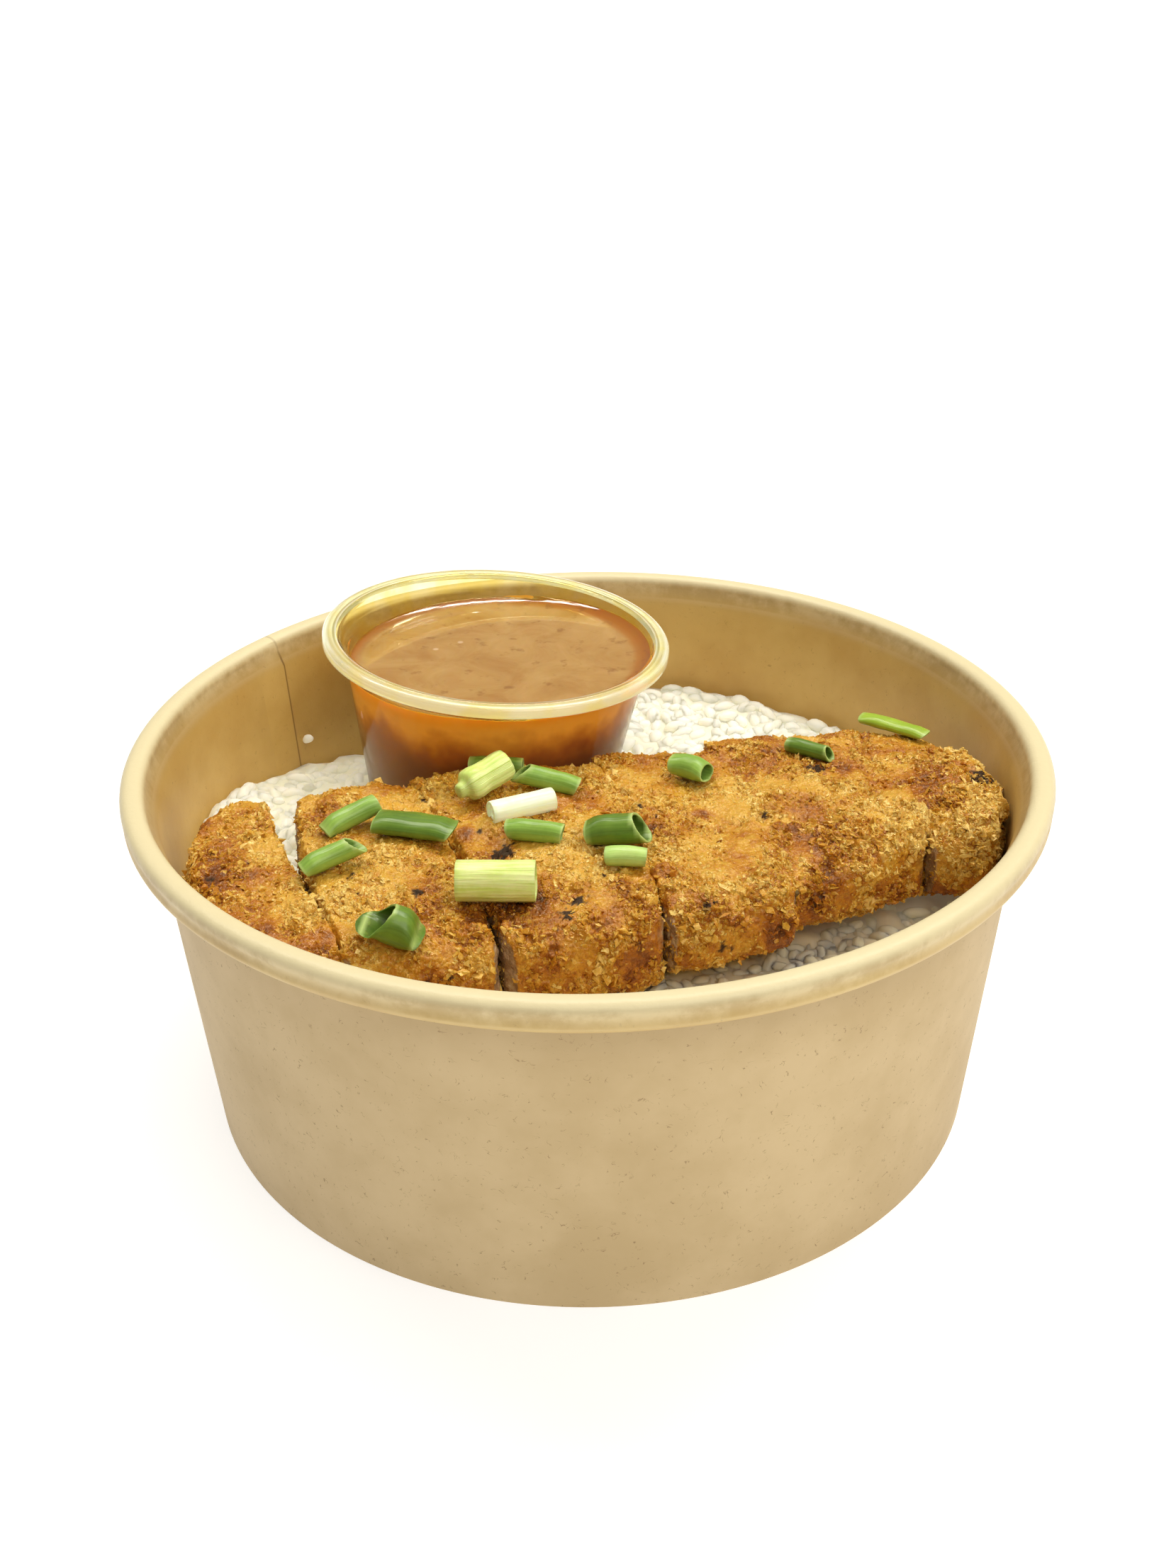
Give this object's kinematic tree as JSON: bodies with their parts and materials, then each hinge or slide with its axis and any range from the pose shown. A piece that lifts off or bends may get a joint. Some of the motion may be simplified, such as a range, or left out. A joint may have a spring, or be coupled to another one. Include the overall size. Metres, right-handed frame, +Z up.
{
  "type": "chicken katsu rice bowl",
  "caption": "Takeaway meal in a round paper bowl: sliced breaded chicken cutlet and spring onion on boiled rice, with a clear cup of curry sauce.",
  "frame": {"origin": "middle of the bowl's foot, on the surface it stands on", "axes": "+Z up, -Y towards the person eating, +X to their right; the sauce cup stands at the back left"},
  "size_m": [0.15, 0.15, 0.0688],
  "materials": {
    "kraft_paper": "satin",
    "rice": "satin",
    "crust": "satin",
    "clear_plastic": "gloss",
    "sauce": "gloss",
    "onion_green": "satin",
    "onion_pale": "satin",
    "onion_white": "satin"
  },
  "bodies": {
    "root": {"bowl": "kraft_paper", "rice": "rice", "katsu_slice_1": "crust", "katsu_slice_2": "crust", "katsu_slice_3": "crust", "katsu_slice_4": "crust", "katsu_slice_5": "crust", "katsu_slice_6": "crust", "spring_onion_01": "onion_green", "spring_onion_02": "onion_green", "spring_onion_03": "onion_green", "spring_onion_04": "onion_pale", "spring_onion_05": "onion_green", "spring_onion_06": "onion_white", "spring_onion_07": "onion_green", "spring_onion_08": "onion_green", "spring_onion_09": "onion_green", "spring_onion_10": "onion_pale", "spring_onion_11": "onion_green", "spring_onion_12": "onion_green", "spring_onion_13": "onion_green", "spring_onion_14": "onion_green", "spring_onion_15": "onion_green", "sauce_cup": "clear_plastic", "sauce": "sauce"}
  },
  "joints": []
}
